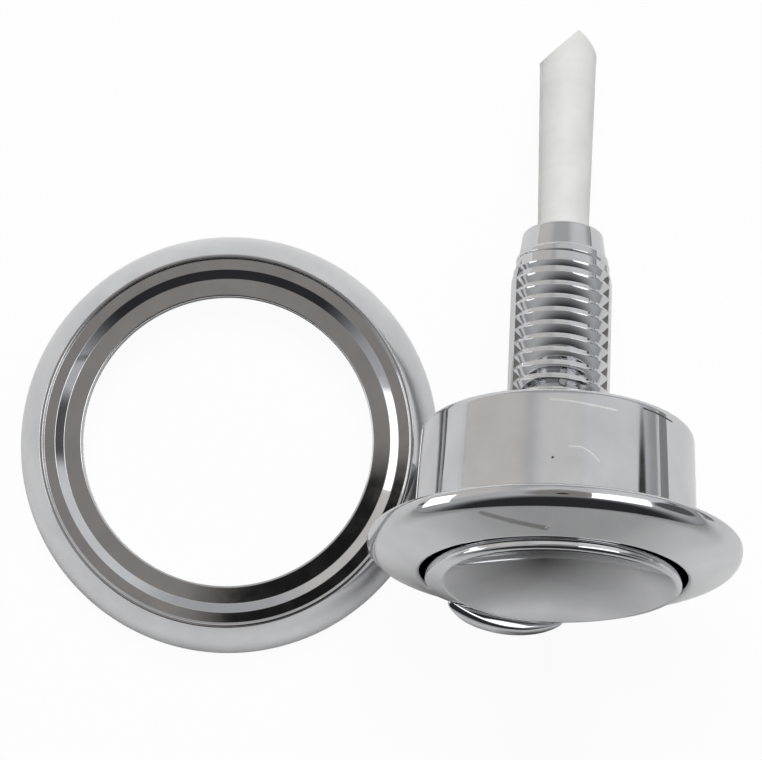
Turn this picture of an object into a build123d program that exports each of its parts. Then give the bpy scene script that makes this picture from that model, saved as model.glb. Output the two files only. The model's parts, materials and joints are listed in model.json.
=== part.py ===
from build123d import *
from math import acos, asin, atan2, cos, degrees, hypot, radians, sin, sqrt, tan
import os

# Push button cistern actuator for a dual flush toilet, shown unpacked: the button lies
# on its side, held up by the rim of its flange and by the tips of its push rods, and
# its adaptor ring lies flat beside it. Sizes in millimetres.
# The button's own frame has its origin where the axis meets the flange's seat, Z out of
# the face, and X towards the small half flush button.

# Flange: a shallow dome with a round rim and a small lip round the opening
flange_d = 50.0
flange_height = 4.9
rim_back_radius = 0.8
rim_front_radius = 2.2
lip_radius = 0.5

# Body that goes through the hole in the cistern lid, with moulding draft
body_d = 38.0
body_draft = 0.5
body_depth = 15.3
body_edge_radius = 1.0
cup_wall = 1.25
floor_thickness = 1.6
rear_recess = 2.2

# Threaded stem, here at its outside diameter, and its plain tapered nose
stem_d = 14.0
stem_length = 29.8
stem_bore = 9.0
nose_length = 3.5
nose_base_d = 12.2
nose_end_d = 11.2
thread_lead_in = 2.0
nose_edge = 0.4

# How the buttons travel
press_travel = 5.0
running_gap = 0.4
button_gap = 0.7
split_gap = 0.5

# Large full flush button: a shallow dome, scooped out as a dish
button_rise = 1.0
dome_rise = 1.7
button_edge_radius = 0.9
rim_land = 1.3
split_land = 0.95
split_edge_radius = 0.4
dish_depth = 2.9
dish_edge_radius = 1.2
cap_thickness = 1.6
skirt_wall = 1.3
skirt_depth = 6.0

# Small half flush button: a raised segment with rounded edges
segment_depth = 3.45
crest_rise = 4.1
crest_inset = 1.85
crest_length_radius = 26.0
crest_cross_radius = 4.2
crest_edge_radius = 0.6
segment_corner_radius = 0.8
rib_thickness = 1.2
rib_distance = 2.9
rib_reach = 1.9
arm_thickness = 1.5

# Snap legs that hold the buttons in the cup
leg_thickness = 1.4
leg_width = 3.0
leg_clearance = 0.35
full_leg_inset = 3.75
full_leg_spread = 5.0
half_leg_inset = 3.15
barb_reach = 0.9
barb_height = 1.8
barb_land = 0.4
catch_gap = 0.15

# Push rods: two tapered half rounds, back to back, with an off centre point
rod_top_d = 5.5
rod_tip_d = 8.2
rod_past_stem = 31.1
rod_parting = 0.4
rod_fit = 0.05
socket_wall = 1.3
socket_depth = 6.0
point_offset = -0.4
point_long_side = 4.1
point_short_side = 3.0

# Return springs
full_wire_d = 0.6
full_coil_d = 5.0
full_turns = 5.5
full_spring_x = -4.0
full_spring_inset = 7.75
half_wire_d = 0.4
half_coil_d = 2.8
half_turns = 7.5
wire_sides = 6
spring_seat_gap = 0.05
spring_pin_gap = 0.3
post_length = 4.0
pin_length = 1.5

# Adaptor ring: a domed shell with a stepped recess for the flange
ring_height = 7.6
ring_wall = 2.0
ring_foot = 0.8
ring_bulge = 0.45
dome_width = 3.6
crest_width = 0.5
crest_round = 0.2
recess_clearance = 0.9
recess_depth = 0.7
ledge_width = 1.6
step_width = 1.2
step_depth = 0.8
bed_width = 2.5

# How the set lies: the button beside the ring's centre, turned and rolled
button_offset_x = 44.9
button_offset_y = -15.3
button_turn = 3.2
button_roll = 248.0
lean_rounds = 8

# Radii and levels that follow
flange_r = flange_d / 2
body_r = body_d / 2
body_rear_r = body_r - body_draft
opening_r = body_r - cup_wall
floor_r = body_rear_r - cup_wall
floor_back = rear_recess - body_depth
floor_level = floor_back + floor_thickness
stem_end = -body_depth - stem_length
tip_level = stem_end - rod_past_stem
button_r = opening_r - button_gap
skirt_inner_r = button_r - skirt_wall
rim_level = flange_height + button_rise
split_low = button_r - segment_depth - split_gap / 2
split_high = split_low + split_gap
crest_distance = button_r - crest_inset
full_leg_distance = floor_r - full_leg_inset
half_leg_distance = floor_r - half_leg_inset
full_spring_y = floor_r - full_spring_inset
recess_r = flange_r + recess_clearance
crest_r = recess_r + crest_width
ring_r = crest_r + dome_width
step_r = recess_r - ledge_width
bed_r = step_r - step_width
ring_hole_r = bed_r - bed_width

# The dish is part of a ball through the rim's land and the split's land
dome_radius = (button_r**2 + dome_rise**2) / (2 * dome_rise)
dome_centre = rim_level + dome_rise - dome_radius


def dome_level(distance):
    return dome_centre + sqrt(dome_radius**2 - distance**2)


dish_far = rim_land - button_r
dish_near = split_low - split_land
dish_far_level = dome_level(dish_far)
dish_near_level = dome_level(dish_near)
dish_half = hypot(dish_near - dish_far, dish_near_level - dish_far_level) / 2
dish_lean = atan2(dish_near_level - dish_far_level, dish_near - dish_far)
dish_radius = (dish_half**2 + dish_depth**2) / (2 * dish_depth)
dish_lift = dish_radius - dish_depth
dish_x = (dish_far + dish_near) / 2 - dish_lift * sin(dish_lean)
dish_z = (dish_far_level + dish_near_level) / 2 + dish_lift * cos(dish_lean)
cap_under = dish_z - dish_radius - cap_thickness
skirt_bottom = cap_under - skirt_depth
crest_level = flange_height + crest_rise
crest_depth = crest_level - cap_under

# The small button's arm runs under the large one and clears it when that is pressed
arm_top = cap_under - press_travel - running_gap
arm_bottom = arm_top - arm_thickness
catch_level = floor_back - catch_gap
leg_tip = catch_level - barb_height

# The rods taper evenly from their sockets to their tips
rod_slope = (rod_tip_d - rod_top_d) / 2 / (cap_under - tip_level)


def rod_radius(level):
    return rod_top_d / 2 + rod_slope * (cap_under - level)


# The lean of the lying button: the flange's back edge and the rods' tips touch the table.
# The lowest spot of the sloping tips shifts a little as it leans, so a few rounds settle it
roll = radians(button_roll)
turn = radians(button_turn)
tip_slope = point_short_side / (rod_tip_d / 2 - point_offset)
point_reach = sqrt((rod_tip_d / 2) ** 2 - point_offset**2)
rim_run = rim_back_radius - tip_level + tip_slope * point_offset
lean = 0
for _ in range(lean_rounds):
    tip_drop = rod_tip_d / 2 * hypot(sin(roll), cos(roll) + tip_slope * tan(lean))
    rim_drop = flange_r - rim_back_radius - tip_drop
    lean = atan2(rim_drop, rim_run) + asin(rim_back_radius / hypot(rim_run, rim_drop))
axis_height = (rim_run - rim_back_radius) * sin(lean) + tip_drop * cos(lean)

outward = Vector(-sin(turn) * cos(lean), -cos(turn) * cos(lean), sin(lean))
across = Vector(cos(turn), -sin(turn), 0)
upward = outward.cross(across)
split_way = across * cos(roll) + upward * sin(roll)
side_way = outward.cross(split_way)

# The set's middle on the table is the origin: the ring bounds it at the left and below,
# the flange at the right and the rods' point above
flange_reach = rim_back_radius * (1 + outward.X)
flange_reach += (flange_r - rim_back_radius) * sqrt(1 - outward.X**2)
point = split_way * -point_reach + side_way * point_offset + outward * tip_level
ring_x = -(button_offset_x + flange_reach - ring_r) / 2
ring_y = -(button_offset_y + point.Y - ring_r) / 2
seat = Plane(
    origin=(ring_x + button_offset_x, ring_y + button_offset_y, axis_height),
    x_dir=split_way,
    z_dir=outward,
)
axial = Plane(origin=seat.origin, x_dir=seat.x_dir, z_dir=-seat.y_dir)
split_plane = Plane(origin=seat.origin, x_dir=seat.y_dir, z_dir=seat.x_dir)
button_axis = Axis(seat.origin, outward)
split_axis = Axis(seat.origin, seat.x_dir)
crest_axis = Axis(
    seat.from_local_coords((0, 0, crest_level - crest_length_radius)), seat.x_dir
)
ring_pitch = atan2(ring_height - ring_foot, dome_width)

# The flange's slope runs tangent from the round rim to the round lip
slope_run = flange_r - rim_front_radius - opening_r - lip_radius
slope_rise = flange_height - lip_radius - rim_back_radius
slope = acos((rim_front_radius - lip_radius) / hypot(slope_run, slope_rise))
slope -= atan2(slope_run, slope_rise)
rim_corner = (flange_r - rim_front_radius, rim_back_radius)
lip_corner = (opening_r + lip_radius, flange_height - lip_radius)
slope_start = (
    rim_corner[0] + rim_front_radius * sin(slope),
    rim_corner[1] + rim_front_radius * cos(slope),
)
slope_end = (
    lip_corner[0] + lip_radius * sin(slope),
    lip_corner[1] + lip_radius * cos(slope),
)


def leg_outline(inner, side, spread, top):
    """A snap leg and its barb, seen along Y, at this distance from the middle."""
    outer = inner + side * leg_thickness
    with BuildSketch(axial.offset(-spread)) as outline:
        with BuildLine():
            Polyline(
                (inner, top),
                (outer, top),
                (outer, catch_level),
                (outer + side * barb_reach, catch_level),
                (outer + side * barb_reach, catch_level - barb_land),
                (outer, leg_tip),
                (inner, leg_tip),
                close=True,
            )
        make_face()
    return outline.sketch


full_leg_inner = leg_thickness / 2 - full_leg_distance
half_leg_inner = half_leg_distance - leg_thickness / 2

# Housing: flange, cup and stem in one moulding
with BuildPart(seat) as housing:
    with BuildSketch(axial):
        with BuildLine():
            nose_top = stem_end + nose_length
            Polyline(
                (stem_bore / 2, floor_level),
                (stem_bore / 2, stem_end),
                (nose_end_d / 2 - nose_edge, stem_end),
                (nose_end_d / 2, stem_end + nose_edge),
                (nose_base_d / 2, nose_top),
                (stem_d / 2, nose_top + thread_lead_in),
                (stem_d / 2, floor_back),
                (floor_r, floor_back),
                (floor_r, -body_depth),
                (body_rear_r - body_edge_radius, -body_depth),
            )
            JernArc(
                start=(body_rear_r - body_edge_radius, -body_depth),
                tangent=(1, 0),
                radius=body_edge_radius,
                arc_size=90,
            )
            Polyline(
                (body_rear_r, body_edge_radius - body_depth),
                (body_r, 0),
                (flange_r - rim_back_radius, 0),
            )
            JernArc(
                start=(flange_r - rim_back_radius, 0),
                tangent=(1, 0),
                radius=rim_back_radius,
                arc_size=90,
            )
            JernArc(
                start=(flange_r, rim_back_radius),
                tangent=(0, 1),
                radius=rim_front_radius,
                arc_size=90 - degrees(slope),
            )
            Line(slope_start, slope_end)
            JernArc(
                start=slope_end,
                tangent=(-cos(slope), sin(slope)),
                radius=lip_radius,
                arc_size=90 + degrees(slope),
            )
            Polyline(
                (opening_r, flange_height - lip_radius),
                (floor_r, floor_level),
                (stem_bore / 2, floor_level),
            )
        make_face()
    revolve(axis=button_axis)
    # Pins that keep the springs in place on the cup's floor
    with BuildSketch(seat.offset(floor_level)):
        with Locations((full_spring_x, full_spring_y), (full_spring_x, -full_spring_y)):
            Circle((full_coil_d - full_wire_d) / 2 - spring_pin_gap)
        with Locations((crest_distance, 0)):
            Circle((half_coil_d - half_wire_d) / 2 - spring_pin_gap)
    extrude(amount=pin_length)
    # Windows for the snap legs
    with BuildSketch(seat.offset(floor_back)):
        full_leg_middle = full_leg_inner - leg_thickness / 2
        with Locations((full_leg_middle, full_leg_spread), (full_leg_middle, -full_leg_spread)):
            Rectangle(leg_thickness + 2 * leg_clearance, leg_width + 2 * leg_clearance)
        with Locations((half_leg_distance, rib_distance), (half_leg_distance, -rib_distance)):
            Rectangle(leg_thickness + 2 * leg_clearance, rib_thickness + 2 * leg_clearance)
    extrude(amount=floor_thickness, mode=Mode.SUBTRACT)

# Full flush button: dished cap, skirt, rod socket, spring posts and snap legs
with BuildPart(seat) as full_flush_button:
    with BuildSketch(axial):
        with BuildLine():
            TangentArc(
                (0, rim_level + dome_rise), (button_r, rim_level), tangent=(1, 0)
            )
            Polyline(
                (button_r, rim_level),
                (button_r, skirt_bottom),
                (skirt_inner_r, skirt_bottom),
                (skirt_inner_r, cap_under),
                (0, cap_under),
                (0, rim_level + dome_rise),
            )
        make_face()
        outer = vertices().group_by(Axis.X)[-1]
        fillet(outer.sort_by(Axis.Y)[-1], radius=button_edge_radius)
    revolve(axis=button_axis)
    split(bisect_by=split_plane.offset(split_low), keep=Keep.BOTTOM)
    with Locations((dish_x, 0, dish_z)):
        Sphere(dish_radius, mode=Mode.SUBTRACT)
    dish_rim = edges(Select.LAST)
    fillet(dish_rim, radius=dish_edge_radius)
    split_face = faces().filter_by(split_axis).sort_by(split_axis)[-1]
    fillet(split_face.edges().sort_by(button_axis)[-1], radius=split_edge_radius)
    with BuildSketch(seat.offset(cap_under)):
        Circle(rod_radius(cap_under) + rod_fit + socket_wall)
        with Locations((-rod_parting / 2, 0)):
            Rectangle(stem_d, stem_d, align=(Align.MIN, Align.CENTER), mode=Mode.SUBTRACT)
    extrude(amount=-socket_depth)
    with BuildSketch(seat.offset(cap_under - socket_depth)):
        Circle(rod_radius(cap_under - socket_depth) + rod_fit)
    extrude(amount=socket_depth, mode=Mode.SUBTRACT)
    with BuildSketch(seat.offset(cap_under)):
        with Locations((full_spring_x, full_spring_y), (full_spring_x, -full_spring_y)):
            Circle((full_coil_d - full_wire_d) / 2 - spring_pin_gap)
    extrude(amount=-post_length)
    for spread in (full_leg_spread, -full_leg_spread):
        leg = leg_outline(full_leg_inner, -1, spread, cap_under)
        extrude(leg, amount=leg_width / 2, both=True)

# Half flush button: raised segment, side skirts, two arms to its rod, post and snap legs
with BuildPart(seat) as half_flush_button:
    with BuildSketch(seat.offset(cap_under)) as segment:
        Circle(button_r)
        with Locations((split_high, 0)):
            Rectangle(
                2 * button_r, 2 * button_r, align=(Align.MAX, Align.CENTER), mode=Mode.SUBTRACT
            )
        fillet(vertices(), radius=segment_corner_radius)
    extrude(amount=crest_level - cap_under)
    with BuildSketch(axial):
        with Locations((crest_distance, crest_level - crest_cross_radius)):
            Circle(crest_cross_radius)
            Rectangle(
                2 * crest_cross_radius, crest_depth, align=(Align.CENTER, Align.MAX)
            )
    revolve(axis=crest_axis, revolution_arc=360, mode=Mode.INTERSECT)
    crest = faces().filter_by(GeomType.TORUS).sort_by(SortBy.AREA)[-1]
    fillet(crest.edges(), radius=crest_edge_radius)
    with BuildSketch(seat.offset(cap_under)):
        add(segment.sketch_local)
        Circle(skirt_inner_r, mode=Mode.SUBTRACT)
        Rectangle(4 * button_r, 2 * rib_distance, mode=Mode.SUBTRACT)
    extrude(amount=-skirt_depth)
    for spread in (rib_distance, -rib_distance):
        with BuildSketch(axial.offset(-spread)):
            with BuildLine():
                Polyline(
                    (rod_parting / 2, arm_top),
                    (split_high, arm_top),
                    (split_high, cap_under),
                    (split_high + rib_reach, cap_under),
                    (split_high + rib_reach, arm_bottom),
                    (rod_parting / 2, arm_bottom),
                    close=True,
                )
            make_face()
        extrude(amount=rib_thickness / 2, both=True)
        leg = leg_outline(half_leg_inner, 1, spread, arm_bottom)
        extrude(leg, amount=rib_thickness / 2, both=True)
    with BuildSketch(seat.offset(arm_bottom)):
        Circle(rod_radius(arm_bottom) + rod_fit + socket_wall)
        with Locations((rod_parting / 2, 0)):
            Rectangle(stem_d, stem_d, align=(Align.MAX, Align.CENTER), mode=Mode.SUBTRACT)
    extrude(amount=arm_thickness)
    with BuildSketch(seat.offset(arm_bottom)):
        Circle(rod_radius(arm_bottom) + rod_fit)
    extrude(amount=arm_thickness, mode=Mode.SUBTRACT)
    with BuildSketch(seat.offset(cap_under)):
        with Locations((crest_distance, 0)):
            Circle((half_coil_d - half_wire_d) / 2 - spring_pin_gap)
    extrude(amount=-post_length)


def push_rod(top, parting, kept):
    """Half of a tapered round rod, cut to an off centre point."""
    tip_r = rod_tip_d / 2
    with BuildPart(seat) as rod:
        with BuildSketch(axial):
            with BuildLine():
                Polyline(
                    (0, top), (rod_radius(top), top), (tip_r, tip_level), (0, tip_level), close=True
                )
            make_face()
        revolve(axis=button_axis)
        split(bisect_by=split_plane.offset(parting), keep=kept)
        with BuildSketch(split_plane):
            with BuildLine():
                Polyline(
                    (-tip_r, top),
                    (-tip_r, tip_level + point_long_side),
                    (point_offset, tip_level),
                    (tip_r, tip_level + point_short_side),
                    (tip_r, top),
                    close=True,
                )
            make_face()
        extrude(amount=tip_r, both=True, mode=Mode.INTERSECT)
    return rod.part


def coil_spring(x, y, wire_d, coil_d, turns):
    """A return spring between the cup's floor and the caps' underside."""
    bottom = floor_level + spring_seat_gap + wire_d / 2
    length = cap_under - spring_seat_gap - wire_d / 2 - bottom
    foot = seat.from_local_coords((x, y, bottom))
    with BuildPart() as spring:
        with BuildLine() as coil:
            Helix(length / turns, length, coil_d / 2, center=foot, direction=outward)
        with BuildSketch(Plane(origin=coil.line @ 0, z_dir=coil.line % 0)):
            RegularPolygon(wire_d / 2, wire_sides)
        sweep(path=coil.line, is_frenet=True)
    return spring.part


# Adaptor ring: its outside is a bulged cone, its recess steps down to the hole
with BuildPart() as adaptor_ring:
    with BuildSketch(Plane.XZ.offset(-ring_y).shift_origin((ring_x, ring_y, 0))):
        ledge_level = ring_height - recess_depth
        bed_level = ledge_level - step_depth
        with BuildLine():
            wall_middle = (
                (ring_r + crest_r) / 2 + ring_bulge * sin(ring_pitch),
                (ring_foot + ring_height) / 2 + ring_bulge * cos(ring_pitch),
            )
            ThreePointArc((ring_r, ring_foot), wall_middle, (crest_r, ring_height))
            Polyline(
                (crest_r, ring_height),
                (recess_r, ring_height),
                (recess_r, ledge_level),
                (step_r, ledge_level),
                (bed_r, bed_level),
                (ring_hole_r, bed_level),
                (ring_hole_r, bed_level - ring_wall),
                (step_r + ring_wall, bed_level - ring_wall),
                (ring_r - ring_wall, 0),
                (ring_r, 0),
                (ring_r, ring_foot),
            )
        make_face()
        fillet(vertices().group_by(Axis.Y)[-1], radius=crest_round)
    revolve(axis=Axis((ring_x, ring_y, 0), (0, 0, 1)))

pieces = {
    "housing": housing.part,
    "full_flush_button": full_flush_button.part,
    "half_flush_button": half_flush_button.part,
    "full_flush_rod": push_rod(cap_under, -rod_parting / 2, Keep.BOTTOM),
    "half_flush_rod": push_rod(arm_top, rod_parting / 2, Keep.TOP),
    "half_flush_spring": coil_spring(crest_distance, 0, half_wire_d, half_coil_d, half_turns),
    "adaptor_ring": adaptor_ring.part,
}
for side, y in (("left", -full_spring_y), ("right", full_spring_y)):
    pieces[f"full_flush_spring_{side}"] = coil_spring(
        full_spring_x, y, full_wire_d, full_coil_d, full_turns
    )
os.makedirs("parts", exist_ok=True)
for name, piece in pieces.items():
    piece.label = name
    export_step(piece, f"parts/{name}.step")
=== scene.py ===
# %% [markdown]
# # A chrome push button for a cistern, and its adaptor ring
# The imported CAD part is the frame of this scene: every piece made below takes its place
# from it and rides on one of its bodies. The pieces are smooth versions of the CAD
# solids, because polished chrome shows every facet, and the stem gets its thread here.

# %% Load the frame
import bmesh
import bpy
import json
from math import acos, asin, atan2, ceil, cos, degrees, hypot, pi, radians, sin, sqrt, tan
from mathutils import Matrix, Vector


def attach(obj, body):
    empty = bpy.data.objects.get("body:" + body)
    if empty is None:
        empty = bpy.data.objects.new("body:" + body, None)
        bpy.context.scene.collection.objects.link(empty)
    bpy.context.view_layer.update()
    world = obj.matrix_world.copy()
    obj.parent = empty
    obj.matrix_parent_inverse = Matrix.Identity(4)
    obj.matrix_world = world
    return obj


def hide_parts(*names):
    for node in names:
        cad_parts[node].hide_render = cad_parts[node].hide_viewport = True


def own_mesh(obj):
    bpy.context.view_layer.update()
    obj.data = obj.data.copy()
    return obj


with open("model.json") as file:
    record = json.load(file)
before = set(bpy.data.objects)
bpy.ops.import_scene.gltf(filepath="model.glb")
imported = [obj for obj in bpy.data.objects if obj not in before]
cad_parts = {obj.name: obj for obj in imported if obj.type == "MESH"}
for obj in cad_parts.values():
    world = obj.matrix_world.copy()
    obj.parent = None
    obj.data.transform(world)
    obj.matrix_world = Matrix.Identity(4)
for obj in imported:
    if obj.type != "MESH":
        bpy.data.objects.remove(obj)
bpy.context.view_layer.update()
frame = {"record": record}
MM = 0.001

# %% [markdown]
# ## Two places to work in
# The button lies on its side, so it is easier to model upright and then laid down. The
# record's mounts say where its axis is: the stem mount lies on it, and the flange's seat
# is where the button's own zero level is. The ring lies flat, round its own hole.

# %% The button's own frame and the ring's
mounts = {mount["name"]: mount for mount in frame["record"]["mounts"]}
outward = -Vector(mounts["stem"]["axis"]).normalized()
seat_point = Vector(mounts["flange_seat"]["pos_m"])
stem_point = Vector(mounts["stem"]["pos_m"])
seat_centre = stem_point + outward * (seat_point - stem_point).dot(outward)
sideways = (seat_point - seat_centre).normalized()
split_way = sideways.cross(outward)
button_place = Matrix((split_way, sideways, outward)).transposed().to_4x4()
button_place.translation = seat_centre
button_place = button_place @ Matrix.Scale(MM, 4)
ring_centre = Vector(mounts["ring_hole"]["pos_m"])
ring_centre.z = 0
ring_place = Matrix.Translation(ring_centre) @ Matrix.Scale(MM, 4)
right_turn = degrees(atan2(sideways.x, split_way.x))
print("the button's axis points", [round(c, 3) for c in outward])
print("the right of the picture is at", round(right_turn, 1), "degrees round it")

# %% [markdown]
# ## Sizes
# These are the real sizes in millimetres. Most are those of the CAD source. The caps'
# faces and the thread are finer here than in the solids, and the whole stays inside the
# CAD model's box. Levels count from the flange's seat, upwards out of the face.

# %% Named sizes
FLANGE_R, FLANGE_HEIGHT, RIM_BACK, RIM_FRONT, LIP = 24.98, 4.9, 0.8, 2.2, 0.5
BODY_R, BODY_DRAFT, BODY_DEPTH, BODY_EDGE = 19.0, 0.5, 15.3, 1.0
CUP_WALL, FLOOR_THICKNESS, REAR_RECESS = 1.25, 1.6, 2.2
STEM_R, STEM_LENGTH, STEM_BORE_R = 7.0, 29.8, 4.5
NOSE_LENGTH, NOSE_BASE_R, NOSE_END_R, NOSE_EDGE = 3.5, 6.1, 5.6, 0.4
THREAD_PITCH, THREAD_CORE_R, THREAD_SINK, THREAD_ROUND, THREAD_LEAD = 1.95, 6.4, 0.6, 0.08, 3.9
THREAD_CREST, LONG_FLANK, STEEP_FLANK = 0.3, 1.05, 0.25
LAND_TURN, LAND_HALF_ANGLE, LAND_INNER_R = 112.8, 24.0, 5.2
TRAVEL, RUNNING_GAP, BUTTON_GAP, SPLIT_GAP = 5.0, 0.4, 0.7, 0.5
BUTTON_RISE, DOME_RISE, BUTTON_EDGE, RIM_LAND, SIDE_LAND = 1.0, 3.0, 0.35, 0.6, 1.3
SPLIT_LAND, SPLIT_EDGE, DISH_DEPTH, DISH_BLEND = 0.8, 0.3, 2.9, 0.12
CAP_UNDER, SKIRT_WALL, SKIRT_DEPTH = 1.9219, 1.3, 6.0
SEGMENT_DEPTH, CREST_RISE, CREST_INSET, SPRING_INSET = 3.45, 3.85, 1.6, 1.85
CREST_LENGTH_R, CREST_CROSS_R, CREST_EDGE = 18.5, 2.6, 0.3
CORNER_R, SEGMENT_CORNER_R = 0.5, 0.5
RIB_THICKNESS, RIB_DISTANCE, RIB_REACH, ARM_THICKNESS = 1.2, 2.9, 1.9, 1.5
LEG_THICKNESS, LEG_WIDTH, LEG_CLEARANCE = 1.4, 3.0, 0.35
FULL_LEG_INSET, FULL_LEG_SPREAD, HALF_LEG_INSET = 3.75, 5.0, 3.15
BARB_REACH, BARB_HEIGHT, BARB_LAND, CATCH_GAP = 0.9, 1.8, 0.4, 0.15
ROD_TOP_R, ROD_TIP_R, ROD_PAST_STEM, ROD_PARTING, ROD_SEAM = 2.75, 4.1, 31.1, 0.4, 0.16
ROD_FIT, SOCKET_WALL, SOCKET_DEPTH = 0.05, 1.3, 6.0
POINT_OFFSET, POINT_LONG_SIDE, POINT_SHORT_SIDE = -0.4, 4.1, 3.0
RING_MARK_PITCH, RING_MARK_DEPTH, RING_MARK_WIDTH = 1.85, 0.008, 0.5
FULL_WIRE, FULL_COIL_R, FULL_TURNS, FULL_SPRING_X, FULL_SPRING_INSET = 0.6, 2.5, 5.5, -4.0, 7.75
HALF_WIRE, HALF_COIL_R, HALF_TURNS = 0.4, 1.4, 7.5
SPRING_GAP, PIN_GAP, POST_LENGTH, PIN_LENGTH = 0.05, 0.3, 4.0, 1.5
RING_HEIGHT, RING_WALL, RING_FOOT, RING_BULGE, RING_CORNER = 7.6, 2.0, 0.8, 0.45, 0.25
DOME_WIDTH, CREST_WIDTH, CREST_ROUND, RECESS_CLEARANCE = 3.6, 0.5, 0.2, 0.9
RECESS_DEPTH, LEDGE_WIDTH, STEP_WIDTH, STEP_DEPTH, BED_WIDTH = 0.7, 1.6, 1.2, 0.8, 2.5
SMALL_ROUND = 0.15

# %% Levels and radii that follow
opening_r = BODY_R - CUP_WALL
floor_r = BODY_R - BODY_DRAFT - CUP_WALL
floor_back = REAR_RECESS - BODY_DEPTH
floor_level = floor_back + FLOOR_THICKNESS
stem_end = -BODY_DEPTH - STEM_LENGTH
tip_level = stem_end - ROD_PAST_STEM
button_r = opening_r - BUTTON_GAP
rim_level = FLANGE_HEIGHT + BUTTON_RISE
split_low = button_r - SEGMENT_DEPTH - SPLIT_GAP / 2
split_high = split_low + SPLIT_GAP
crest_distance = button_r - CREST_INSET
half_spring_x = button_r - SPRING_INSET
crest_level = FLANGE_HEIGHT + CREST_RISE
full_spring_y = floor_r - FULL_SPRING_INSET
full_pin_r = FULL_COIL_R - FULL_WIRE / 2 - PIN_GAP
half_pin_r = HALF_COIL_R - HALF_WIRE / 2 - PIN_GAP
dome_radius = (button_r**2 + DOME_RISE**2) / (2 * DOME_RISE)
dome_centre = rim_level + DOME_RISE - dome_radius


def dome_level(distance):
    return dome_centre + sqrt(dome_radius**2 - distance**2)


dish_far, dish_near = RIM_LAND - button_r, split_low - SPLIT_LAND
dish_run = dish_near - dish_far
dish_climb = dome_level(dish_near) - dome_level(dish_far)
dish_radius = (hypot(dish_run, dish_climb) ** 2 / 4 + DISH_DEPTH**2) / (2 * DISH_DEPTH)
dish_lean = atan2(dish_climb, dish_run)
dish_lift = dish_radius - DISH_DEPTH
dish_middle = (dish_far + dish_near) / 2
dish_x = dish_middle - dish_lift * sin(dish_lean)
dish_z = (dome_level(dish_far) + dome_level(dish_near)) / 2 + dish_lift * cos(dish_lean)
dish_bottom = dish_z - dish_radius
dish_side = sqrt(button_r**2 - dish_middle**2) - SIDE_LAND
dish_side_depth = dome_level(hypot(dish_middle, dish_side)) - dish_bottom
dish_axis_level = dish_bottom + (dish_side**2 + dish_side_depth**2) / (2 * dish_side_depth)
arm_top = CAP_UNDER - TRAVEL - RUNNING_GAP
arm_bottom = arm_top - ARM_THICKNESS
catch_level = floor_back - CATCH_GAP
leg_tip = catch_level - BARB_HEIGHT


def rod_radius(level):
    return ROD_TOP_R + (ROD_TIP_R - ROD_TOP_R) * (CAP_UNDER - level) / (CAP_UNDER - tip_level)


levels = {"floor": floor_level, "cap": CAP_UNDER, "tip": tip_level}
print("levels in mm:", {name: round(level, 2) for name, level in levels.items()})

# %% [markdown]
# ## Tools for shapes
# A shape is a list of points and faces in millimetres. Two moves make nearly all of them:
# skinning a row of loops, and turning an outline round the axis. Outlines are written as
# corners with a radius each, and the helper rounds them off.

# %% Outlines with rounded corners
ARC_STEP = radians(9)
GUARD = 0.06
NEARLY_STRAIGHT = 1e-4


def rounded(corners):
    """Points of a closed outline given as (across, up, corner radius)."""
    points = []
    for i, (x, y, radius) in enumerate(corners):
        here = Vector((x, y))
        before = (Vector(corners[i - 1][:2]) - here).normalized()
        after = (Vector(corners[(i + 1) % len(corners)][:2]) - here).normalized()
        half = acos(max(-1, min(1, before.dot(after)))) / 2
        if radius == 0 or half > pi / 2 - NEARLY_STRAIGHT:
            points.append(here)
            continue
        reach = radius / tan(half)
        centre = here + (before + after).normalized() * radius / sin(half)
        start, end = here + before * reach, here + after * reach
        sweep = pi - 2 * half
        steps = max(2, ceil(sweep / ARC_STEP))
        turn = sweep if (start - centre).cross(end - centre) > 0 else -sweep
        points.append(start + before * GUARD)
        for k in range(steps + 1):
            points.append(centre + Matrix.Rotation(turn * k / steps, 2) @ (start - centre))
        points.append(end + after * GUARD)
    return points


# %% Skins, turned shapes and prisms
TURN_STEPS = 180


class Shape:
    """Points and faces in millimetres, gathered from several moves."""

    def __init__(self):
        self.points = []
        self.faces = []

    def skin(self, loops, wrap=False, caps=True):
        """Joins closed loops of equally many points, and closes the ends or the round."""
        first, count = len(self.points), len(loops[0])
        for loop in loops:
            self.points.extend(Vector(point) for point in loop)
        rows = len(loops)
        for i in range(rows if wrap else rows - 1):
            a, b = first + i * count, first + (i + 1) % rows * count
            for j in range(count):
                k = (j + 1) % count
                self.faces.append((a + j, a + k, b + k, b + j))
        if caps and not wrap:
            self.faces.append(tuple(range(first, first + count)))
            self.faces.append(tuple(range(first + (rows - 1) * count, first + rows * count)))
        return self

    def lathe(self, outline):
        """Turns an outline of (radius, level) points round the axis."""
        angles = [2 * pi * i / TURN_STEPS for i in range(TURN_STEPS)]
        loops = [[(p[0] * cos(a), p[0] * sin(a), p[1]) for p in outline] for a in angles]
        return self.skin(loops, wrap=True)

    def prism(self, outline, push):
        """Pushes a flat outline of 3-D points along a way."""
        return self.skin([outline, [Vector(point) + Vector(push) for point in outline]])

    def peg(self, x, y, radius, low, high, steps=32):
        """A plain round peg along the axis."""
        angles = [2 * pi * i / steps for i in range(steps)]
        foot = [(x + radius * cos(a), y + radius * sin(a), low) for a in angles]
        return self.prism(foot, (0, 0, high - low))


# %% Shapes become pieces
SHARP_ANGLE = radians(38)
MERGE = 1e-8


def close_up(mesh):
    """Merges doubles, so that the mesh is closed, and turns its faces outwards."""
    work = bmesh.new()
    work.from_mesh(mesh)
    bmesh.ops.remove_doubles(work, verts=work.verts, dist=MERGE)
    bmesh.ops.recalc_face_normals(work, faces=work.faces)
    work.to_mesh(mesh)
    work.free()


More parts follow.
